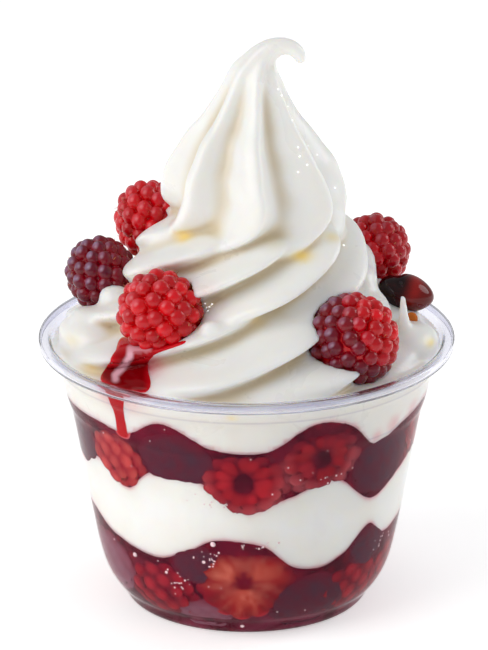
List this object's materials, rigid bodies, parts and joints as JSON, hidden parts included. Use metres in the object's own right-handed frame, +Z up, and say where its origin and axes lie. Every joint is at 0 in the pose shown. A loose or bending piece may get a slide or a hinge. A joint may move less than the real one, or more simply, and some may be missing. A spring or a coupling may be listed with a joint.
{
  "type": "soft serve sundae",
  "caption": "Soft serve sundae in a clear plastic cup: layers of fruit and cream under a tall ribbed swirl with a curled tip, with berries on top.",
  "frame": {"origin": "centre of the cup's foot, on the surface it stands on", "axes": "+Z up through the swirl; -Y is the front, with the sauce and the two largest berries; the tip curls towards +X"},
  "size_m": [0.098, 0.098, 0.1378],
  "materials": {
    "clear_plastic": "clear, thin and glossy",
    "stewed_fruit": "wet dark red fruit in its juice",
    "cream": "smooth, soft and slightly glossy",
    "raspberry": "bright red, shiny drupelets",
    "dark_berry": "dark purple red, shiny drupelets",
    "cherry": "very dark red, glazed"
  },
  "bodies": {
    "root": {"cup": "clear_plastic", "lower_fruit": "stewed_fruit", "cream_band": "cream", "upper_fruit": "stewed_fruit", "soft_serve": "cream", "raspberry_front": "raspberry", "dark_berry_front": "dark_berry", "dark_berry_left": "dark_berry", "raspberry_back_left": "raspberry", "raspberry_back_right": "raspberry", "cherry": "cherry"}
  },
  "joints": []
}
